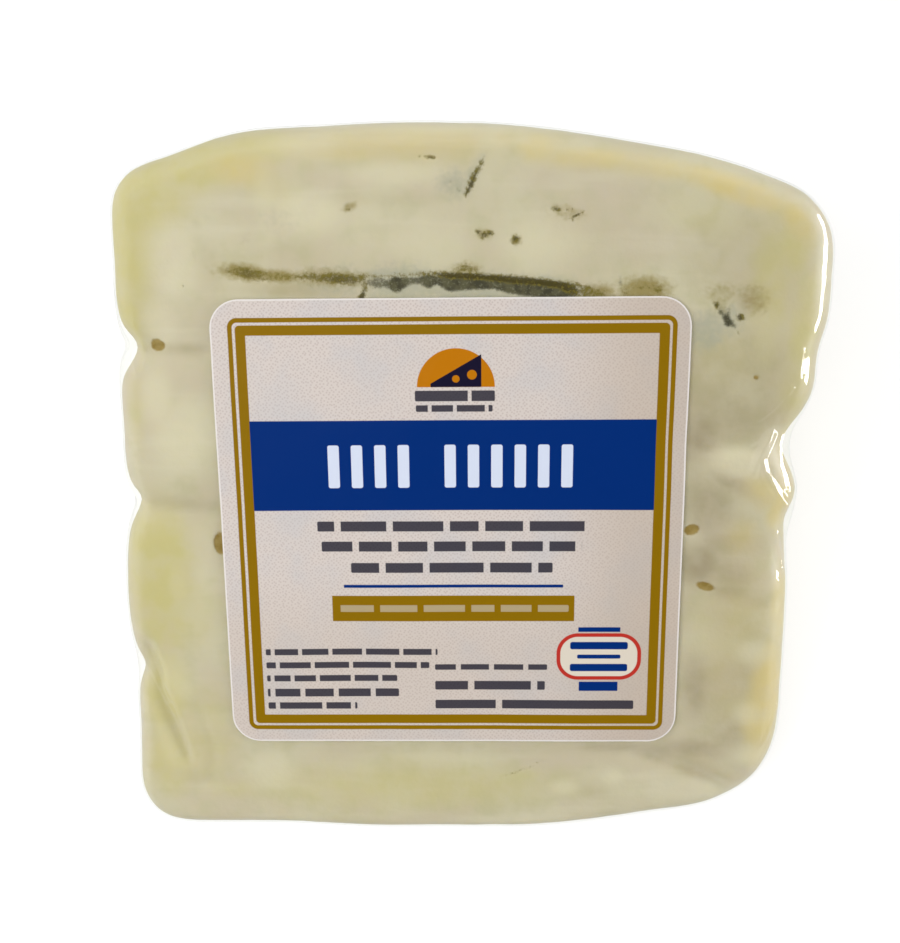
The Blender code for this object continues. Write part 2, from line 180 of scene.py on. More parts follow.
# Paler patches: partly whitish cheese, partly painted highlights beside the label's right edge, along the
# right and lower edges, and above the label on the left
PALE_AND_HIGHLIGHTS = (
    (-34.2, -7.0, 2.4, 8.0, 0, 0.35), (-40.0, -22.5, 2.0, 3.4, 25, 0.5),
    (-41.6, -33.0, 1.6, 3.6, 15, 0.4), (-6.5, 47.5, 7.0, 1.5, 0, 0.75), (-2.2, 47.6, 2.2, 1.8, 0, 0.6),
    (-19.0, 51.2, 4.8, 2.2, 0, 0.5), (-18.0, 42.8, 4.8, 2.8, 0, 0.85), (-20.3, 47.0, 2.0, 5.0, 0, 0.35),
    (-36.5, 37.0, 3.6, 5.0, 0, 0.7), (-38.6, 28.5, 2.4, 3.8, 0, 0.7), (-39.6, 18.5, 2.4, 4.6, 0, 0.8),
    (-36.0, 13.5, 4.8, 5.4, 0, 0.7), (12.0, 38.6, 6.0, 3.4, 0, 0.7), (-3.0, 39.2, 8.5, 2.8, 0, 0.45),
    (38.5, 9.4, 3.8, 1.9, 0, 1.0), (34.8, -16.0, 2.8, 4.0, 0, 0.45), (42.4, -18.3, 2.6, 1.9, 0, 0.75),
    (42.0, -27.6, 2.2, 1.8, 0, 0.65), (42.4, -34.0, 2.6, 1.8, 0, 0.6), (-26.6, -36.8, 3.8, 2.8, 0, 0.6),
    (-1.5, -34.8, 6.0, 1.5, 0, 0.4), (16.0, -39.4, 2.2, 1.3, 0, 0.75), (23.2, -37.6, 1.6, 1.4, 0, 0.65),
    (-38.5, -8.0, 1.4, 2.8, 0, 0.4), (4.0, 53.6, 26.0, 1.2, 0, 0.6), (41.6, 25.0, 1.6, 3.0, 0, 0.3),
    (-23.5, 44.0, 1.6, 6.0, 0, 0.5), (-11.0, 42.0, 2.6, 4.0, 0, 0.4),
)
YELLOWISH = (
    (-40.0, 47.8, 5.4, 3.2, 20, 1.0), (-38.5, 44.0, 6.0, 3.6, 25, 0.85),
    (-33.5, 49.0, 4.6, 2.6, 12, 0.8), (-43.0, 39.5, 2.6, 8.0, 0, 0.85), (-42.8, 30.0, 2.2, 5.0, 0, 0.8),
    (-42.6, 17.0, 1.5, 5.0, 0, 0.5), (-41.0, -6.0, 5.0, 10.0, 0, 0.95), (-36.5, -2.5, 3.0, 6.0, 0, 0.3),
    (-41.0, -13.5, 4.2, 5.0, 0, 0.8), (-41.5, -24.0, 3.4, 7.0, 0, 0.9),
    (-41.5, -35.0, 3.4, 5.4, 0, 0.8), (-32.0, -39.6, 6.0, 2.0, 0, 0.45),
    (-34.0, 49.5, 9.0, 4.5, 8, 0.9), (-43.0, 40.0, 4.5, 12.0, 0, 0.9), (-26.0, 51.5, 7.0, 3.0, 0, 0.7),
    (-36.5, -31.0, 5.5, 8.0, 0, 0.5), (-37.5, -12.0, 4.5, 6.0, 0, 0.5),
    (-6.0, -39.2, 24.0, 4.0, 0, 0.6), (-8.0, -36.0, 4.2, 2.4, 0, 0.4), (9.5, -37.8, 5.0, 1.4, 12, 0.5),
    (46.6, 27.0, 2.4, 9.0, 0, 0.65), (46.0, 19.0, 2.4, 5.0, 0, 0.6), (-20.0, -38.6, 5.0, 1.6, 0, 0.35),
    (-24.0, 47.0, 5.0, 2.4, -35, 0.5), (42.0, 33.0, 3.0, 9.0, 0, 0.6), (44.5, 38.0, 2.5, 5.0, 0, 0.7),
    (33.0, 42.0, 7.0, 3.0, -15, 0.3), (37.5, -14.0, 5.0, 6.0, 0, 0.3), (36.0, 24.0, 5.0, 4.0, 0, 0.25),
)
ORANGEY = (
    (41.0, -18.0, 6.0, 14.0, 0, 0.3), (36.0, -36.0, 8.0, 3.0, -20, 0.25),
    (-26.5, 48.4, 3.8, 2.0, 0, 0.7), (-12.0, 50.2, 7.0, 1.1, 0, 0.5), (11.5, 50.6, 2.6, 2.0, 0, 0.75),
    (18.0, 49.2, 6.5, 1.4, -2, 0.7), (27.0, 48.0, 6.0, 1.5, -6, 0.65), (36.5, 45.4, 7.0, 1.6, -20, 1.0),
    (44.6, 41.4, 3.4, 1.5, -50, 0.7), (45.2, 3.0, 1.8, 3.4, 0, 0.75), (42.6, 5.0, 3.4, 2.2, -30, 0.65),
    (40.2, -1.2, 2.8, 2.6, 0, 0.5), (46.2, -12.0, 1.8, 6.0, 0, 0.7), (45.0, -24.0, 2.8, 7.0, 0, 1.0),
    (44.0, -34.0, 2.0, 3.0, 20, 0.5), (44.2, -28.0, 2.8, 6.0, 0, 0.9), (47.0, 10.0, 2.0, 5.0, 0, 0.4),
    (33.0, 50.0, 8.0, 1.2, -16, 0.4), (-6.0, 51.5, 14.0, 2.6, 0, 0.5), (8.0, 52.0, 8.0, 1.6, 0, 0.4),
)

# Where a crack in the cheese runs under the film on its flat sides: side, up the slope, half width, depth
SIDE_CRACKS = (
    (-1, 24.6, 2.8, 1.6), (-1, 3.2, 2.4, 0.7), (-1, -21.2, 2.2, 0.8), (1, 11.3, 3.0, 0.85),
    (1, 0.8, 2.4, 0.7),
)
# Between which places across the face its flat sides begin
SIDE_START = (39.5, 44.5)

# Creases that the film has pressed into the soft cut face: points across and up, depth and half width
CREASES = (
    (((-43.6, -17.6), (-42.3, -23.7), (-40.8, -29.1), (-39.2, -34.4)), 0.8, 1.3),
    (((-41.0, -24.0), (-38.6, -31.0), (-37.2, -37.0)), -0.4, 1.5),
    (((-37.0, -27.0), (-35.6, -33.0), (-36.2, -38.6)), 0.35, 1.3),
    (((-45.0, 4.2), (-38.0, 2.6), (-32.4, 2.4)), 0.4, 1.4),
    (((-43.8, 25.8), (-38.0, 25.0), (-33.0, 24.9)), 0.4, 1.4),
    (((26.0, -33.9), (33.2, -36.2), (38.6, -39.0)), 0.5, 1.2),
    (((30.5, -33.6), (36.5, -34.6), (41.5, -37.2)), 0.25, 1.1),
    (((34.0, 12.0), (40.0, 12.6), (44.5, 14.4)), 0.35, 1.7),
    (((34.8, -9.2), (39.6, -9.6), (44.6, -10.8)), 0.22, 1.2),
)


def colour(red, green, blue):
    """The shader's colour for one seen on a screen, from its three values out of 255."""
    shares = [value / 255 for value in (red, green, blue)]
    return (*[s / 12.92 if s <= 0.04045 else ((s + 0.055) / 1.055) ** 2.4 for s in shares], 1.0)


def select_only(piece):
    """Deselects everything else and makes the piece active, for the operators that follow."""
    bpy.ops.object.select_all(action="DESELECT")
    piece.select_set(True)
    bpy.context.view_layer.objects.active = piece


def apply_modifier(piece, kind, **settings):
    """Adds a modifier with these settings and applies it."""
    select_only(piece)
    modifier = piece.modifiers.new(kind.lower(), kind)
    for name, value in settings.items():
        setattr(modifier, name, value)
    bpy.ops.object.modifier_apply(modifier=modifier.name)


def mesh_points(piece):
    """The mesh's points as an array of rows."""
    places = np.empty(len(piece.data.vertices) * 3)
    piece.data.vertices.foreach_get("co", places)
    return places.reshape(-1, 3)


def mesh_normals(piece):
    """The outward direction at each of the mesh's points."""
    ways = np.empty(len(piece.data.vertices) * 3, dtype=np.float32)
    piece.data.vertex_normals.foreach_get("vector", ways)
    return ways.reshape(-1, 3).astype(float)


def move_points(piece, places):
    """Gives the mesh's points new places."""
    piece.data.vertices.foreach_set("co", np.ascontiguousarray(places, dtype=np.float32).ravel())
    piece.data.update()


def on_face(places):
    """Turns points into places on the cut face: across, up the slope and out of it, in millimetres."""
    return (places - np.array(FACE_MIDDLE)) @ np.array(FACE_TURN).T / MM


def smooth_step(value, start, end):
    """0 before start, 1 after end, and an even rise between them."""
    share = np.clip((value - start) / (end - start), 0.0, 1.0)
    return share * share * (3.0 - 2.0 * share)


def patch_shares(face, patches, soft):
    """How much of these patches each point takes, with edges this soft, in millimetres."""
    shares = np.zeros(len(face))
    for across, up, half_length, half_width, degrees, strength in patches:
        run, rise = math.cos(math.radians(degrees)), math.sin(math.radians(degrees))
        along = ((face[:, 0] - across) * run + (face[:, 1] - up) * rise) / half_length
        aside = ((face[:, 1] - up) * run - (face[:, 0] - across) * rise) / half_width
        outside = (np.hypot(along, aside) - 1.0) * min(half_length, half_width)
        reach = min(soft, 0.8 * min(half_length, half_width))
        shares = np.maximum(shares, strength * (1.0 - smooth_step(outside, -reach, reach)))
    return shares * smooth_step(face[:, 2], *FACE_FADE)


def line_shares(face, lines, soft):
    """How much of these veins each point takes, with edges this soft, in millimetres."""
    shares = np.zeros(len(face))
    for line in lines:
        for start, end in zip(np.array(line[:-1]), np.array(line[1:])):
            run = end[:2] - start[:2]
            along = np.clip((face[:, :2] - start[:2]) @ run / (run @ run), 0.0, 1.0)[:, None]
            middle = start + along * (end - start)
            outside = np.hypot(*(face[:, :2] - middle[:, :2]).T) - middle[:, 2]
            shares = np.maximum(shares, middle[:, 3] * (1.0 - smooth_step(outside, -soft, soft)))
    return shares * smooth_step(face[:, 2], *FACE_FADE)


def away_from_line(flat, line):
    """Each flat point's distance from a line of straight stretches."""
    nearest = np.full(len(flat), 1e3)
    for start, end in zip(line[:-1], line[1:]):
        run = np.array(end) - np.array(start)
        share = np.clip((flat - start) @ run / (run @ run), 0.0, 1.0)
        nearest = np.minimum(nearest, np.hypot(*(flat - start - share[:, None] * run).T))
    return nearest


def crease_depths(face):
    """How deep the creases press each point in."""
    depths = np.zeros(len(face))
    for line, depth, half_width in CREASES:
        depths += depth * MM * np.exp(-((away_from_line(face[:, :2], line) / half_width) ** 2))
    return depths * smooth_step(face[:, 2], *FACE_FADE)


def line_patches(lines):
    """Patches that cover these lines, for finer faces round them."""
    return [((a[0] + b[0]) / 2, (a[1] + b[1]) / 2, abs(a[0] - b[0]) / 2, abs(a[1] - b[1]) / 2, 0, 1.0)
            for line in lines for a, b in zip(line[:-1], line[1:])]


def paint(piece, name, shares):
    """Keeps a share for each of the mesh's points, for the material to read."""
    layer = piece.data.attributes.new(name, "FLOAT", "POINT")
    layer.data.foreach_set("value", np.ascontiguousarray(shares, dtype=np.float32))


def refine_round(piece, patches, room):
    """Halves the faces round these patches of the cut face, with this much room, in millimetres."""
    select_only(piece)
    middles = np.array([polygon.center for polygon in piece.data.polygons])
    face = on_face(middles)
    near = np.zeros(len(middles), dtype=bool)
    for across, up, half_length, half_width, degrees, _ in patches:
        run, rise = abs(math.cos(math.radians(degrees))), abs(math.sin(math.radians(degrees)))
        beside = np.abs(face[:, 0] - across) < half_length * run + half_width * rise + room
        level = np.abs(face[:, 1] - up) < half_length * rise + half_width * run + room
        near |= beside & level & (face[:, 2] > FACE_FADE[0])
    bpy.ops.object.mode_set(mode="EDIT")
    bpy.ops.mesh.select_mode(type="FACE")
    bpy.ops.mesh.select_all(action="DESELECT")
    bpy.ops.object.mode_set(mode="OBJECT")
    piece.data.polygons.foreach_set("select", near)
    bpy.ops.object.mode_set(mode="EDIT")
    bpy.ops.mesh.subdivide(number_cuts=1, smoothness=0.0)
    bpy.ops.object.mode_set(mode="OBJECT")


def cloud(name, scale, depth):
    """A soft noise texture for a Displace modifier."""
    texture = bpy.data.textures.new(name, "CLOUDS")
    texture.noise_scale = scale
    texture.noise_depth = depth
    return texture


# The pack's solid is copied, its triangles are paired into quads, and the flat foot is made one face
pack_form = bpy.data.objects.new("pack_form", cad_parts["cheese_pack"].data.copy())
bpy.context.scene.collection.objects.link(pack_form)
pack_form.data.materials.clear()
select_only(pack_form)
bpy.ops.object.mode_set(mode="EDIT")
bpy.ops.mesh.select_all(action="SELECT")
bpy.ops.mesh.remove_doubles(threshold=0.00001)
bpy.ops.mesh.tris_convert_to_quads(face_threshold=math.radians(60), shape_threshold=math.radians(60))
bpy.ops.mesh.select_mode(type="FACE")
bpy.ops.mesh.select_all(action="DESELECT")
bpy.ops.object.mode_set(mode="OBJECT")
foot = []
for polygon in pack_form.data.polygons:
    highest = max(pack_form.data.vertices[i].co.z for i in polygon.vertices)
    foot.append(highest < FOOT_FLATNESS)
pack_form.data.polygons.foreach_set("select", foot)
bpy.ops.object.mode_set(mode="EDIT")
bpy.ops.mesh.dissolve_faces()
bpy.ops.object.mode_set(mode="OBJECT")

cheese = pack_form.copy()
cheese.data = pack_form.data.copy()
cheese.name = cheese.data.name = "cheese"
bpy.context.scene.collection.objects.link(cheese)
small_marks = [*OLIVE_SPOTS, *BLUE_SPOTS, *WHEY_HOLES, *line_patches(OLIVE_VEINS + BLUE_VEINS)]
for room in MARK_ROOMS:
    refine_round(cheese, small_marks, room)
apply_modifier(cheese, "SUBSURF", levels=2, render_levels=2)
swells = cloud("swells", SWELL_SCALE, 1)
swelling = {"texture": swells, "texture_coords": "LOCAL", "mid_level": 0.6, "strength": SWELL_DEPTH}
apply_modifier(cheese, "DISPLACE", **swelling)

places, ways = mesh_points(cheese), mesh_normals(cheese)
face = on_face(places)
# How soft the edges of the painted marks are, in millimetres
SOFT_MOULD = 0.45
SOFT_HOLE = 0.3
SOFT_HAZE = 1.4
SOFT_TINT = 3.2
marks = {
    "whey": (WHEY_HOLES, SOFT_HOLE),
    "blue_haze": (BLUE_HAZE, SOFT_HAZE),
    "olive_haze": (OLIVE_HAZE, SOFT_HAZE),
    "shadowy": (SHADOWY, SOFT_TINT),
    "brownish_and_shade": (BROWNISH_AND_SHADE, SOFT_TINT),
    "pinkish": (PINKISH_SPOTS, SOFT_TINT),
    "pale": (PALE_AND_HIGHLIGHTS, SOFT_TINT),
    "yellowish": (YELLOWISH, SOFT_TINT),
    "orangey": (ORANGEY, SOFT_TINT),
}
for name, (patches, soft) in marks.items():
    paint(cheese, name, patch_shares(face, patches, soft))
blue = np.maximum(line_shares(face, BLUE_VEINS, SOFT_MOULD), patch_shares(face, BLUE_SPOTS, SOFT_MOULD))
olive = np.maximum(line_shares(face, OLIVE_VEINS, SOFT_MOULD), patch_shares(face, OLIVE_SPOTS, SOFT_MOULD))
paint(cheese, "blue_mould", blue)
paint(cheese, "olive_mould", olive)
sink = VEIN_SINK * np.maximum(blue, olive)
sink += HOLE_SINK * patch_shares(face, WHEY_HOLES, SOFT_HOLE) + crease_depths(face)
places = places - ways * (FILM_ROOM + sink)[:, None]
for side, up, half_width, depth in SIDE_CRACKS:
    near_side = smooth_step(side * face[:, 0], *SIDE_START)
    places[:, 0] -= side * depth * MM * near_side * np.exp(-(((face[:, 1] - up) / half_width) ** 2))
move_points(cheese, places)
crumbs = cloud("crumbs", CRUMB_SCALE, 3)
crumbling = {"texture": crumbs, "texture_coords": "LOCAL", "mid_level": 0.8, "strength": CRUMB_DEPTH}
apply_modifier(cheese, "DISPLACE", **crumbling)
select_only(cheese)
bpy.ops.object.shade_smooth()


def add_node(tree, kind, inputs=None, **settings):
    """Adds a shader node, sets it, and gives its inputs these values or links."""
    node = tree.nodes.new("ShaderNode" + kind)
    for name, value in settings.items():
        setattr(node, name, value)
    for socket, value in (inputs or {}).items():
        if isinstance(value, bpy.types.NodeSocket):
            tree.links.new(value, node.inputs[socket])
        else:
            node.inputs[socket].default_value = value
    return node


def new_group(name, inputs, outputs):
    """A shader node group with these named sockets: its tree, its inputs and its outputs."""
    tree = bpy.data.node_groups.new(name, "ShaderNodeTree")
    for socket, kind in inputs.items():
        tree.interface.new_socket(socket, in_out="INPUT", socket_type="NodeSocket" + kind)
    for socket, kind in outputs.items():
        tree.interface.new_socket(socket, in_out="OUTPUT", socket_type="NodeSocket" + kind)
    return tree, tree.nodes.new("NodeGroupInput").outputs, tree.nodes.new("NodeGroupOutput").inputs


def add_group(tree, group, inputs):
    """Places a node group with these inputs, and returns its first output."""
    return add_node(tree, "Group", inputs, node_tree=group).outputs[0]


def calculate(tree, operation, *values):
    """A Math node on these values."""
    return add_node(tree, "Math", dict(enumerate(values)), operation=operation).outputs[0]


def vector_math(tree, operation, *values, output=0):
    """A Vector Math node on these values."""
    return add_node(tree, "VectorMath", dict(enumerate(values)), operation=operation).outputs[output]


def ramp(tree, value, start, end, low=0.0, high=1.0):
    """Turns a value that goes from start to end smoothly into one that goes from low to high."""
    inputs = {"Value": value, "From Min": start, "From Max": end, "To Min": low, "To Max": high}
    return add_node(tree, "MapRange", inputs, interpolation_type="SMOOTHSTEP").outputs["Result"]


def mix_colours(tree, share, first, second):
    """Mixes two colours by a share."""
    return add_node(tree, "Mix", {0: share, 6: first, 7: second}, data_type="RGBA").outputs[2]


def speckle(tree, place, scale, detail=3.0, roughness=0.55, stretch=None):
    """Noise of this many features a millimetre, stretched along an axis if asked."""
    if stretch:
        place = vector_math(tree, "MULTIPLY", place, stretch)
    inputs = {"Vector": place, "Scale": scale, "Detail": detail, "Roughness": roughness}
    return add_node(tree, "TexNoise", inputs).outputs["Fac"]


def face_place(tree):
    """Places on the cut face in millimetres, from the piece's own coordinates."""
    own = add_node(tree, "TexCoord").outputs["Object"]
    middle = FACE_TURN @ FACE_MIDDLE / MM
    inputs = {"Vector": own, "Location": -middle, "Rotation": (-SLOPE, 0, 0), "Scale": (1 / MM,) * 3}
    return add_node(tree, "Mapping", inputs, vector_type="POINT").outputs[0]


def painted(tree, name, noise=None, ragged=0.0, grow=(0.0, 1.0)):
    """The share that a mark was painted with, its edges made ragged by noise."""
    share = add_node(tree, "Attribute", attribute_name=name).outputs["Fac"]
    if noise is not None:
        rough = calculate(tree, "MULTIPLY", calculate(tree, "SUBTRACT", noise, 0.5), ragged)
        rough = calculate(tree, "MULTIPLY", rough, ramp(tree, share, 0.0, 0.2))
        share = calculate(tree, "ADD", share, rough)
    return ramp(tree, share, *grow)


def new_material(name):
    """An empty node material: itself, its tree and its Principled shader, wired to the output."""
    material = bpy.data.materials.new(name)
    material.use_nodes = True
    shader = material.node_tree.nodes["Principled BSDF"]
    return material, material.node_tree, shader


CREAM = colour(209, 202, 172)
CREAM_WARM = colour(205, 195, 167)
CREAM_GREEN = colour(198, 192, 157)
CHALKY = colour(217, 210, 184)
WHITISH = colour(229, 222, 191)
YELLOW_GREEN = colour(203, 194, 130)
STRAW = colour(216, 198, 134)
PINKISH = colour(206, 193, 171)
OLIVE_GREY = colour(177, 166, 130)
BROWN = colour(150, 134, 106)
OLIVE = colour(116, 105, 31)
OLIVE_DARK = colour(72, 63, 8)
SLATE = colour(84, 81, 52)
SLATE_DARK = colour(54, 51, 28)
MOULD_BLOOM = colour(128, 127, 100)
HAZE_BLUE = colour(175, 174, 153)
HAZE_OLIVE = colour(148, 132, 66)
AMBER = colour(162, 138, 68)
AMBER_DARK = colour(142, 115, 28)

material, tree, shader = new_material("cheese")
place = face_place(tree)
apart = add_node(tree, "SeparateXYZ", {0: place}).outputs
up = apart[1]
out = apart[2]
broad = speckle(tree, place, 0.075, detail=2.0)
mottle = speckle(tree, place, 0.28, detail=4.0, roughness=0.55)
fine = speckle(tree, place, 1.3, detail=3.0, roughness=0.55)
streaks = speckle(tree, place, 0.2, detail=3.0, stretch=(0.2, 1.5, 1.0))
body = mix_colours(tree, ramp(tree, broad, 0.36, 0.64), CREAM, CREAM_WARM)
body = mix_colours(tree, ramp(tree, mottle, 0.44, 0.72, 0.0, 0.8), body, CREAM_GREEN)
body = mix_colours(tree, ramp(tree, streaks, 0.5, 0.74, 0.0, 0.5), body, CHALKY)

# The cheese is yellower along its rind, its flat sides and the tip, where it has dried a little
below = ramp(tree, out, -2.5, -6.0)
edge = calculate(tree, "MAXIMUM", ramp(tree, up, 46.0, 51.5, 0.0, 0.45), below)
edge = calculate(tree, "MULTIPLY", edge, ramp(tree, broad, 0.3, 0.62, 0.15, 0.45))
body = mix_colours(tree, edge, body, YELLOW_GREEN)

# The painted tints, each with its colour and strength. The olive-grey and brown ones are partly painted
# shade, and the whitish one is partly painted highlights
TINTS = (
    ("shadowy", OLIVE_GREY, 0.75), ("brownish_and_shade", BROWN, 0.7), ("pinkish", PINKISH, 0.8),
    ("yellowish", YELLOW_GREEN, 0.85), ("orangey", STRAW, 0.8), ("pale", WHITISH, 0.62),
)
patchy = ramp(tree, mottle, 0.3, 0.62, 0.65, 1.0)
for name, tint, strength in TINTS:
    share = calculate(tree, "MULTIPLY", painted(tree, name), patchy)
    body = mix_colours(tree, calculate(tree, "MULTIPLY", share, strength), body, tint)

# The haze round the mould, then the blue and the olive mould, then the whey in the holes
grit = speckle(tree, place, 2.3, detail=3.0, roughness=0.65)
blotches = ramp(tree, speckle(tree, place, 0.85, detail=2.0), 0.36, 0.62)
share = calculate(tree, "MULTIPLY", painted(tree, "blue_haze", fine, 0.9), 0.8)
body = mix_colours(tree, share, body, HAZE_BLUE)
share = calculate(tree, "MULTIPLY", painted(tree, "olive_haze", fine, 1.0), 0.85)
body = mix_colours(tree, share, body, HAZE_OLIVE)
share = painted(tree, "blue_mould", grit, 1.0, (0.2, 0.85))
mould = mix_colours(tree, blotches, SLATE_DARK, SLATE)
mould = mix_colours(tree, ramp(tree, grit, 0.52, 0.68, 0.0, 0.6), mould, MOULD_BLOOM)
body = mix_colours(tree, calculate(tree, "MULTIPLY", share, 0.95), body, mould)
share = painted(tree, "olive_mould", grit, 1.6, (0.25, 0.95))
thick = painted(tree, "olive_mould", grow=(0.55, 1.0))
thick = calculate(tree, "SUBTRACT", thick, ramp(tree, grit, 0.5, 0.66, 0.0, 0.7))
mould = mix_colours(tree, ramp(tree, thick, 0.0, 0.8), OLIVE, OLIVE_DARK)
body = mix_colours(tree, calculate(tree, "MULTIPLY", share, 0.92), body, mould)
share = painted(tree, "whey", grit, 0.6, (0.2, 0.8))
whey = mix_colours(tree, blotches, AMBER_DARK, AMBER)
body = mix_colours(tree, calculate(tree, "MULTIPLY", share, 0.9), body, whey)

# Away from the labelled face the mould lies in scattered veins, along the same piercing channels
hidden = ramp(tree, out, -6.0, -9.0)
scatter = speckle(tree, place, 0.12, detail=3.0, roughness=0.62, stretch=(0.4, 1.6, 1.6))
share = calculate(tree, "MULTIPLY", ramp(tree, scatter, 0.55, 0.68, 0.0, 0.5), hidden)
body = mix_colours(tree, share, body, HAZE_BLUE)
share = calculate(tree, "MULTIPLY", ramp(tree, scatter, 0.63, 0.7, 0.0, 0.85), hidden)
share = calculate(tree, "MULTIPLY", share, ramp(tree, grit, 0.38, 0.62))
body = mix_colours(tree, share, body, SLATE)

tree.links.new(body, shader.inputs["Base Color"])
shader.inputs["Roughness"].default_value = 0.42
shader.inputs["Specular IOR Level"].default_value = 0.3
shader.inputs["Subsurface Weight"].default_value = 0.35
shader.inputs["Subsurface Radius"].default_value = (1.0, 0.8, 0.45)
shader.inputs["Subsurface Scale"].default_value = 2.2 * MM
grain = calculate(tree, "ADD", calculate(tree, "MULTIPLY", fine, 0.4), mottle)
bump = add_node(tree, "Bump", {"Height": grain, "Strength": 0.35, "Distance": 0.25 * MM})
tree.links.new(bump.outputs[0], shader.inputs["Normal"])
cheese.data.materials.append(material)
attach(cheese, "root")

# The film. A clear shrink bag, 0.06 mm thick, drawn on to the cheese under vacuum and shrunk in hot
# water. It clings all over, bridges the cracks in the flat sides, and stands up there in small folds.

# How far round the folds the faces are made finer, how round a fold's ridge and foot are, and how many
# half widths it reaches
FOLD_ROOMS = (1.2, 0.72)
RIDGE_ROUND = 0.15
FOOT_ROUND = 0.12
FOLD_REACH = 2.5

# Folds beside the cut face: points across and up the slope, then height and half width, in millimetres
FOLDS = (
    (((43.1, 13.2), (42.2, 11.3), (41.5, 9.6), (40.9, 7.9)), 0.6, 1.05),
    (((40.8, 11.4), (42.2, 12.2), (43.0, 12.4)), 0.26, 0.4),
    (((41.9, 9.4), (42.4, 8.0), (43.5, 6.1), (45.6, 3.3)), 0.55, 0.85),
    (((44.6, -1.0), (45.1, -3.2), (45.8, -6.0)), 0.4, 0.65),
    (((46.4, 24.8), (46.2, 20.8)), 0.2, 0.45),
    (((45.4, 19.6), (45.0, 18.9)), 0.28, 0.45),
    (((44.1, 17.9), (43.0, 16.6), (41.6, 15.2)), 0.17, 0.4),
    (((-44.2, 33.6), (-43.6, 28.6), (-42.5, 24.4)), 0.3, 0.6),
    (((-43.8, 24.0), (-42.9, 25.6), (-42.1, 22.4)), 0.25, 0.5),
    (((-44.8, 7.6), (-43.8, 3.2), (-44.9, -1.6)), 0.25, 0.6),
    (((-44.9, -18.4), (-43.4, -21.6), (-41.4, -26.4)), 0.25, 0.6),
    (((46.6, -26.6), (45.4, -30.4), (44.4, -32.6)), 0.2, 0.5),
)

# Folds down the rind side, whose points are across and above the foot
RIND_FOLDS = (
    (((-45.0, 33.0), (-38.0, 21.0), (-27.0, 7.0)), 0.4, 1.3),
    (((-40.0, 36.0), (-36.0, 27.0)), 0.3, 1.0),
    (((44.0, 31.0), (35.0, 22.0), (24.0, 11.0)), 0.4, 1.3),
    (((30.0, 37.0), (37.0, 31.0), (45.0, 27.0)), 0.3, 1.0),
    (((-19.0, 37.0), (-14.0, 24.0), (-12.0, 9.0)), 0.25, 1.2),
    (((9.0, 37.0), (14.0, 26.0), (17.0, 15.0)), 0.25, 1.2),
)

# Folds down the flat sides, whose points are from the tip to the rind and above the foot
LEFT_FOLDS = (
    (((36.0, 30.0), (29.0, 18.0), (26.0, 6.0)), 0.35, 1.2),
    (((12.0, 18.0), (6.0, 11.0), (3.0, 3.0)), 0.3, 1.1),
    (((-18.0, 9.0), (-22.0, 3.0)), 0.25, 1.0),
)
RIGHT_FOLDS = (
    (((34.0, 29.0), (27.0, 19.0), (22.0, 7.0)), 0.35, 1.2),
    (((20.0, 20.0), (12.0, 12.0), (7.0, 4.0)), 0.35, 1.2),
    (((-10.0, 11.0), (-16.0, 4.0)), 0.25, 1.0),
)
# Between which places the folds beside the face, down the rind side and down the flat sides begin
BESIDE_FACE = (-9.0, -6.0)
RIND_START = (36.0, 40.0)
FLAT_START = (38.0, 42.0)

film = pack_form
film.name = film.data.name = "film"
fold_places = line_patches([line for line, _, _ in FOLDS])
for room in FOLD_ROOMS:
    refine_round(film, fold_places, room)
apply_modifier(film, "SUBSURF", levels=2, render_levels=2)
apply_modifier(film, "DISPLACE", **swelling)
places, ways = mesh_points(film), mesh_normals(film)
face = on_face(places)
lift = np.zeros(len(places))
near_face = smooth_step(face[:, 2], *BESIDE_FACE)
at_rind = (1.0 - near_face) * smooth_step(places[:, 1] / MM, *RIND_START)
at_left = (1.0 - near_face) * smooth_step(-places[:, 0] / MM, *FLAT_START)
at_right = (1.0 - near_face) * smooth_step(places[:, 0] / MM, *FLAT_START)
sides = (
    (FOLDS, face[:, :2], near_face),
    (RIND_FOLDS, places[:, ::2] / MM, at_rind),
    (LEFT_FOLDS, places[:, 1:] / MM, at_left),
    (RIGHT_FOLDS, places[:, 1:] / MM, at_right),
)
for folds, flat, share in sides:
    for line, height, half_width in folds:
        away = away_from_line(flat, line)
        inside = 1.0 - np.hypot(away, RIDGE_ROUND) / half_width
        ridge = (inside + np.hypot(inside, FOOT_ROUND)) / 2 * (away < FOLD_REACH * half_width)
        lift = np.maximum(lift, height * MM * ridge * share)
places = places + ways * (lift - crease_depths(face))[:, None]
places[:, 2] = np.maximum(places[:, 2], 0.0)
move_points(film, places)
select_only(film)
bpy.ops.object.shade_smooth()

material, tree, shader = new_material("clear_film")
place = face_place(tree)
ripple = speckle(tree, place, 0.2, detail=1.0)
bump = add_node(tree, "Bump", {"Height": ripple, "Strength": 0.5, "Distance": 0.4 * MM}).outputs[0]
shader.inputs["Base Color"].default_value = (1.0, 1.0, 1.0, 1.0)
shader.inputs["Metallic"].default_value = 1.0
shader.inputs["Roughness"].default_value = 0.06
tree.links.new(bump, shader.inputs["Normal"])
gloss = add_node(tree, "Fresnel", {"IOR": 1.6, "Normal": bump}).outputs[0]
behind = add_node(tree, "NewGeometry").outputs["Backfacing"]
gloss = calculate(tree, "MULTIPLY", gloss, calculate(tree, "SUBTRACT", 1.0, behind))
clear = add_node(tree, "BsdfTransparent", {"Color": (0.985, 0.99, 0.975, 1.0)}).outputs[0]
layers = add_node(tree, "MixShader", {0: gloss, 1: clear, 2: shader.outputs[0]}).outputs[0]
tree.links.new(layers, tree.nodes["Material Output"].inputs["Surface"])
film.data.materials.append(material)
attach(film, "root")
# Film this thin neither shades the cheese nor dims it, so only what looks at it or is mirrored sees it
film.visible_shadow = False
film.visible_diffuse = False
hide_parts("cheese_pack")
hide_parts("cheese_pack")

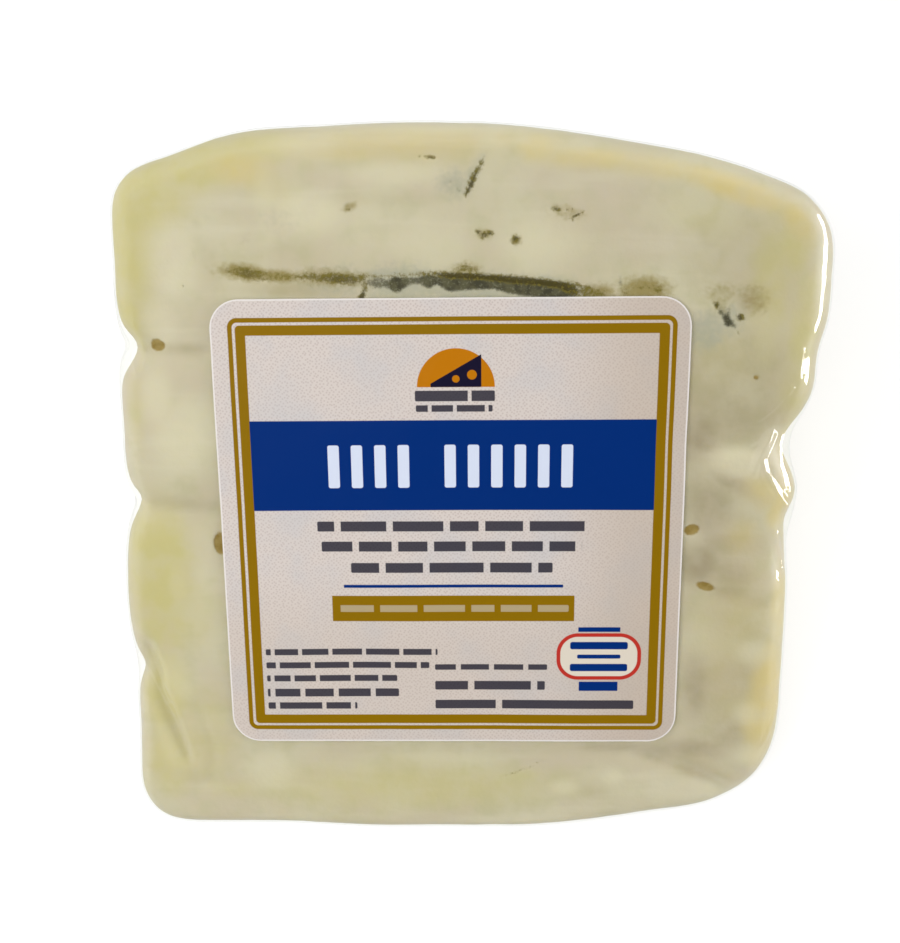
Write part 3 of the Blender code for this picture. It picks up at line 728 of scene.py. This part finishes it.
# The label. A square sticker of satin paper with round corners, stuck on the film and bent with it.
# It is printed with a fine dot tint, two gold frames, a blue band, and marks where its words would be.
LABEL_SIDE = 63.5 * MM
LABEL_CORNER = 4.0 * MM
CORNER_STEPS = 10
SHEET_STRIPS = 44
SHEET_LIFT = 0.07 * MM
SHEET_THICKNESS = 0.16 * MM

bpy.ops.object.select_all(action="DESELECT")
bpy.ops.mesh.primitive_plane_add(size=LABEL_SIDE)
label = bpy.context.object
label.name = label.data.name = "printed_label"
bpy.ops.object.mode_set(mode="EDIT")
bpy.ops.mesh.select_all(action="SELECT")
bpy.ops.mesh.bevel(offset=LABEL_CORNER, segments=CORNER_STEPS, affect="VERTICES")
for way in ((1, 0, 0), (0, 1, 0)):
    for strip in range(1, SHEET_STRIPS):
        line = Vector(way) * LABEL_SIDE * (strip / SHEET_STRIPS - 0.5)
        bpy.ops.mesh.select_all(action="SELECT")
        bpy.ops.mesh.bisect(plane_co=line, plane_no=way)
bpy.ops.object.mode_set(mode="OBJECT")
label.matrix_world = Matrix.Translation(FACE_MIDDLE) @ Matrix.Rotation(SLOPE, 4, "X")
bpy.context.view_layer.update()
pressing = {
    "target": film, "wrap_method": "PROJECT", "offset": SHEET_LIFT,
    "use_project_x": False, "use_project_y": False, "use_project_z": True,
    "use_negative_direction": True, "use_positive_direction": True,
}
apply_modifier(label, "SHRINKWRAP", **pressing)
apply_modifier(label, "SMOOTH", factor=0.5, iterations=6, use_x=False, use_y=False)
apply_modifier(label, "SOLIDIFY", thickness=SHEET_THICKNESS, offset=1.0)
bpy.ops.object.transform_apply(location=True, rotation=True, scale=True)
bpy.ops.object.shade_smooth_by_angle(angle=math.radians(40))

PAPER = colour(214, 204, 197)
DOT = colour(188, 172, 165)
EDGE_HIGHLIGHT = colour(232, 226, 222)
SHOWS_THROUGH = colour(186, 192, 200)
PAPER_SHADE = colour(186, 168, 146)
GOLD = colour(140, 106, 4)
BAND_BLUE = colour(0, 44, 116)
WHITE_INK = colour(214, 222, 240)
BOX_INK = colour(226, 220, 196)
DARK_INK = colour(36, 35, 52)
NAVY = colour(24, 20, 44)
ORANGE = colour(190, 117, 6)
RED = colour(188, 52, 42)
SEAL_CREAM = colour(222, 212, 196)
EDGE_BLUR = 0.05

# A printed box: 1 inside it and 0 outside, with round corners
box_sockets = {"Place": "Vector", "Middle": "Vector", "Half size": "Vector", "Corner": "Float"}
box_group, given, result = new_group("printed_box", box_sockets, {"Share": "Float"})
offset = vector_math(box_group, "SUBTRACT", given["Place"], given["Middle"])
offset = vector_math(box_group, "ABSOLUTE", offset)
beyond = vector_math(box_group, "SUBTRACT", offset, given["Half size"])
corner = add_node(box_group, "CombineXYZ", {0: given["Corner"], 1: given["Corner"]}).outputs[0]
beyond = vector_math(box_group, "ADD", beyond, corner)
beyond = vector_math(box_group, "MAXIMUM", beyond, (0.0, 0.0, 0.0))
beyond = vector_math(box_group, "MULTIPLY", beyond, (1.0, 1.0, 0.0))
reach = vector_math(box_group, "LENGTH", beyond, output="Value")
outside = calculate(box_group, "SUBTRACT", reach, given["Corner"])
box_group.links.new(ramp(box_group, outside, EDGE_BLUR, -EDGE_BLUR), result["Share"])

# A line of words as plain bars of uneven length, with gaps between them
words_sockets = {"Place": "Vector", "Middle": "Vector", "Half size": "Vector",
                 "Word": "Float", "Gap": "Float", "Seed": "Float"}
words_group, given, result = new_group("word_bars", words_sockets, {"Share": "Float"})
sides = add_node(words_group, "SeparateXYZ", {0: given["Place"]}).outputs
along = calculate(words_group, "DIVIDE", sides[0], given["Word"])
along = calculate(words_group, "ADD", along, given["Seed"])
cells = add_node(words_group, "TexVoronoi", {"W": along, "Scale": 1.0, "Randomness": 0.6},
                 voronoi_dimensions="1D", feature="DISTANCE_TO_EDGE")
breaks = calculate(words_group, "MULTIPLY", cells.outputs["Distance"], given["Word"])
gap = calculate(words_group, "MULTIPLY", given["Gap"], 0.5)
word = ramp(words_group, calculate(words_group, "SUBTRACT", breaks, gap), -EDGE_BLUR, EDGE_BLUR)
bar = {"Place": given["Place"], "Middle": given["Middle"], "Half size": given["Half size"], "Corner": 0.2}
inside = add_group(words_group, box_group, bar)
words_group.links.new(calculate(words_group, "MULTIPLY", word, inside), result["Share"])


def box_mask(tree, place, left, right, low, high, corner=0.0):
    """The share of a printed box, from its edges in millimetres."""
    middle = ((left + right) / 2, (low + high) / 2, 0.0)
    half_size = ((right - left) / 2, (high - low) / 2, 0.0)
    corner = max(corner, 2 * EDGE_BLUR)
    inputs = {"Place": place, "Middle": middle, "Half size": half_size, "Corner": corner}
    return add_group(tree, box_group, inputs)


def ring_mask(tree, place, left, right, low, high, corner, width):
    """The share of a frame of this width, from its outer edges."""
    outer = box_mask(tree, place, left, right, low, high, corner)
    corner = max(corner - width, 0.0)
    inner = box_mask(tree, place, left + width, right - width, low + width, high - width, corner)
    return calculate(tree, "SUBTRACT", outer, inner)


def any_of(tree, shares):
    """The largest of several shares."""
    mask = shares[0]
    for share in shares[1:]:
        mask = calculate(tree, "MAXIMUM", mask, share)
    return mask


# Lines of words: left, right and middle height, half height, usual word length, gap, seed
DARK_LINES = (
    (-18.5, 18.5, 0.5, 0.72, 6.6, 0.9, 3.1), (-18.0, 18.0, -2.4, 0.72, 5.4, 0.9, 8.4),
    (-14.0, 14.0, -5.5, 0.72, 6.6, 0.9, 5.2), (-26.5, -2.1, -18.0, 0.46, 4.6, 0.55, 1.3),
    (-26.5, -3.3, -20.0, 0.46, 5.0, 0.55, 4.7), (-26.5, -7.9, -22.0, 0.46, 3.9, 0.55, 9.6),
    (-26.5, -7.7, -24.2, 0.6, 4.6, 0.7, 2.2), (-26.5, -13.7, -26.2, 0.5, 5.6, 0.6, 6.3),
    (-2.5, 13.4, -20.3, 0.42, 4.8, 0.7, 7.7), (-2.5, 13.1, -23.1, 0.66, 8.2, 0.9, 0.4),
    (-2.5, 25.7, -26.0, 0.66, 30.0, 0.9, 0.5),
)
NAME_LINES = ((-4.7, 6.0, 18.7, 0.72, 12.0, 0.5, 0.5), (-4.6, 5.7, 17.0, 0.45, 4.6, 0.5, 3.6))
BOX_LINE = (-15.9, 16.3, -11.5, 0.5, 5.6, 0.9, 2.6)
# The title's place holds a row of plain upright blocks, with one left out
TITLE_START = -16.7
TITLE_PITCH = 3.17
TITLE_BLOCK = 1.55
TITLE_EDGES = (6.0, 12.0)
TITLE_GAP = (-4.6, -1.4)


def words_mask(tree, place, lines):
    """The share of lines of word bars."""
    shares = []
    for left, right, height, half_height, word_length, gap, seed in lines:
        middle = ((left + right) / 2, height, 0.0)
        half_size = ((right - left) / 2, half_height, 0.0)
        inputs = {"Place": place, "Middle": middle, "Half size": half_size,
                  "Word": word_length, "Gap": gap, "Seed": seed}
        shares.append(add_group(tree, words_group, inputs))
    return any_of(tree, shares)


material, tree, shader = new_material("printed_label")
place = face_place(tree)
flat = vector_math(tree, "MULTIPLY", place, (1.0, 1.0, 0.0))
sides = add_node(tree, "SeparateXYZ", {0: flat}).outputs

# The paper's dot tint lies on a slant, and the paper is painted darker to the right and below, as painted
# shade where less light falls
slant = {"Vector": flat, "Rotation": (0, 0, math.radians(40))}
slanted = add_node(tree, "Mapping", slant, vector_type="POINT").outputs[0]
cells = {"Vector": slanted, "Scale": 2.3, "Randomness": 0.55}
dots = add_node(tree, "TexVoronoi", cells, voronoi_dimensions="2D").outputs["Distance"]
paper = mix_colours(tree, ramp(tree, dots, 0.36, 0.2, 0.0, 0.55), PAPER, DOT)
cloudy = speckle(tree, place, 0.11, detail=3.0)
paper = mix_colours(tree, ramp(tree, cloudy, 0.42, 0.7, 0.0, 0.3), paper, SHOWS_THROUGH)
paper = mix_colours(tree, ramp(tree, sides[0], 12.0, 27.0, 0.0, 0.48), paper, PAPER_SHADE)
paper = mix_colours(tree, ramp(tree, sides[1], -4.0, -18.0, 0.0, 0.22), paper, PAPER_SHADE)

# The gold frames and box, the blue band and line, and the title's blocks
frames = any_of(tree, [
    ring_mask(tree, flat, -29.4, 29.9, -29.9, 29.3, 1.3, 0.62),
    ring_mask(tree, flat, -28.4, 28.95, -28.95, 28.3, 0.6, 1.35),
    box_mask(tree, flat, -16.8, 17.1, -13.4, -9.6),
])
print_ = mix_colours(tree, frames, paper, GOLD)
band = any_of(tree, [
    box_mask(tree, flat, -27.1, 27.65, 2.8, 15.4),
    box_mask(tree, flat, -15.1, 15.5, -8.42, -7.98),
])
print_ = mix_colours(tree, band, print_, BAND_BLUE)
along = calculate(tree, "SUBTRACT", sides[0], TITLE_START - 10 * TITLE_PITCH)
along = calculate(tree, "MODULO", along, TITLE_PITCH)
in_block = add_node(tree, "CombineXYZ", {0: along, 1: sides[1]}).outputs[0]
blocks = box_mask(tree, in_block, 0.0, TITLE_BLOCK, *TITLE_EDGES, 0.3)
row = box_mask(tree, flat, -17.0, 17.0, 5.0, 13.0)
row = calculate(tree, "SUBTRACT", row, box_mask(tree, flat, *TITLE_GAP, 5.0, 13.0))
title = calculate(tree, "MULTIPLY", blocks, row)
print_ = mix_colours(tree, title, print_, WHITE_INK)
box_words = calculate(tree, "MULTIPLY", words_mask(tree, flat, (BOX_LINE,)), 0.36)
print_ = mix_colours(tree, box_words, print_, BOX_INK)
dark_words = calculate(tree, "MULTIPLY", words_mask(tree, flat, DARK_LINES + NAME_LINES), 0.93)
print_ = mix_colours(tree, dark_words, print_, DARK_INK)

# The emblem: half of an orange wheel of cheese behind a navy wedge of it, with two holes
wheel = box_mask(tree, flat, -4.4, 6.0, 14.7, 25.1, 5.2)
wheel = calculate(tree, "MULTIPLY", wheel, box_mask(tree, flat, -5.0, 7.0, 19.9, 26.0))
print_ = mix_colours(tree, wheel, print_, ORANGE)
tilt = {"Vector": flat, "Location": (-2.6, 19.9, 0.0), "Rotation": (0, 0, math.radians(30))}
tilted = add_node(tree, "Mapping", tilt, vector_type="TEXTURE").outputs[0]
wedge = box_mask(tree, flat, -2.6, 4.2, 19.9, 25.0, 0.15)
wedge = calculate(tree, "MULTIPLY", wedge, box_mask(tree, tilted, -1.0, 9.0, -6.0, 0.4, 0.15))
holes = any_of(tree, [
    box_mask(tree, flat, 0.3, 1.3, 20.5, 21.5, 0.5),
    box_mask(tree, flat, 2.3, 3.6, 20.9, 22.2, 0.65),
])
wedge = calculate(tree, "SUBTRACT", wedge, holes)
print_ = mix_colours(tree, wedge, print_, NAVY)

# The seal: a rounded red frame with blue bars in it and above and below it
print_ = mix_colours(tree, ring_mask(tree, flat, 14.7, 26.6, -22.2, -15.2, 3.0, 0.55), print_, RED)
print_ = mix_colours(tree, box_mask(tree, flat, 15.25, 26.05, -21.65, -15.75, 2.5), print_, SEAL_CREAM)
seal_bars = any_of(tree, [
    box_mask(tree, flat, 17.7, 23.6, -15.0, -14.3, 0.1),
    box_mask(tree, flat, 17.9, 23.4, -23.9, -22.5, 0.1),
    box_mask(tree, flat, 16.6, 24.7, -17.6, -16.5, 0.3),
    box_mask(tree, flat, 17.6, 23.7, -19.0, -18.4, 0.2),
    box_mask(tree, flat, 16.6, 24.7, -20.9, -19.8, 0.3),
])
print_ = mix_colours(tree, seal_bars, print_, BAND_BLUE)

# A painted highlight, a thin lighter line along the label's cut edge, then the shader
inner = LABEL_SIDE / MM / 2 - 0.2
highlit_edge = calculate(tree, "SUBTRACT", 1.0, box_mask(tree, flat, -inner, inner, -inner, inner, 3.8))
print_ = mix_colours(tree, highlit_edge, print_, EDGE_HIGHLIGHT)
tree.links.new(print_, shader.inputs["Base Color"])
shader.inputs["Roughness"].default_value = 0.36
shader.inputs["Specular IOR Level"].default_value = 0.1
fibre = speckle(tree, place, 3.0, detail=2.0)
waves = speckle(tree, place, 0.25, detail=2.0)
height = calculate(tree, "ADD", calculate(tree, "MULTIPLY", fibre, 0.05), waves)
bump = add_node(tree, "Bump", {"Height": height, "Strength": 0.3, "Distance": 0.3 * MM})
tree.links.new(bump.outputs[0], shader.inputs["Normal"])
label.data.materials.append(material)
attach(label, "root")
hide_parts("label")

# The floor and the light. A pale tabletop and a bright room: soft lamps overhead, on the left and on the
# right, and a window on the right whose reflection runs down that edge of the film.
FLOOR_SIZE = 3.0
floor_data = bpy.data.meshes.new("floor")
half = FLOOR_SIZE / 2
corners = [(-half, -half, 0), (half, -half, 0), (half, half, 0), (-half, half, 0)]
floor_data.from_pydata(corners, [], [(0, 1, 2, 3)])
floor = bpy.data.objects.new("floor", floor_data)
bpy.context.scene.collection.objects.link(floor)
material, tree, shader = new_material("floor")
shader.inputs["Base Color"].default_value = (0.55, 0.55, 0.55, 1.0)
shader.inputs["Roughness"].default_value = 0.8
shader.inputs["Emission Color"].default_value = (1.0, 1.0, 1.0, 1.0)
shader.inputs["Emission Strength"].default_value = 0.52
floor.data.materials.append(material)
# The pack lay on something darker than this white floor, so the floor's own light stays off its rim
floor.visible_diffuse = False
floor.visible_glossy = False

# Lamps: name, place, width and height in metres, power in watts, and whether gloss mirrors it instead of
# being lit by it
LAMP_AIM = Vector((0, 0, 0.02))
LAMPS = (
    ("window_right", (0.6, 0.03, 0.16), 0.48, 0.11, 3.7, True),
    ("lamp_right", (0.6, 0.0, 0.15), 0.4, 0.2, 1.9, False),
    ("lamp_left", (-0.28, -0.08, 0.3), 0.3, 0.25, 0.68, False),
    ("lamp_above", (-0.1, -0.13, 0.57), 0.3, 0.3, 0.9, False),
)


def softbox(name, place, width, height, power, mirrored):
    """A soft rectangular lamp: one that the gloss mirrors, or one that lights."""
    lamp = bpy.data.lights.new(name, "AREA")
    lamp.shape = "RECTANGLE"
    lamp.size = width
    lamp.size_y = height
    lamp.energy = power
    thing = bpy.data.objects.new(name, lamp)
    thing.location = place
    thing.visible_glossy = mirrored
    thing.visible_diffuse = not mirrored
    thing.rotation_euler = (LAMP_AIM - Vector(place)).to_track_quat("-Z", "Y").to_euler()
    bpy.context.scene.collection.objects.link(thing)


for lamp in LAMPS:
    softbox(*lamp)

# The room is bright all round, but for the dark patch where the camera and its holder stand, which is
# what the flat face mirrors
ROOM = 0.74
SHADE = 0.12
SHADE_WAY = (0.0, -0.6, 0.8)
world = bpy.data.worlds.new("room")
world.use_nodes = True
tree = world.node_tree
way = add_node(tree, "TexCoord").outputs["Generated"]
facing = vector_math(tree, "DOT_PRODUCT", way, SHADE_WAY, output="Value")
strength = ramp(tree, facing, 0.45, 0.92, ROOM, SHADE)
tree.links.new(strength, tree.nodes["Background"].inputs["Strength"])
tree.nodes["Background"].inputs["Color"].default_value = (1.0, 1.0, 1.0, 1.0)
bpy.context.scene.world = world
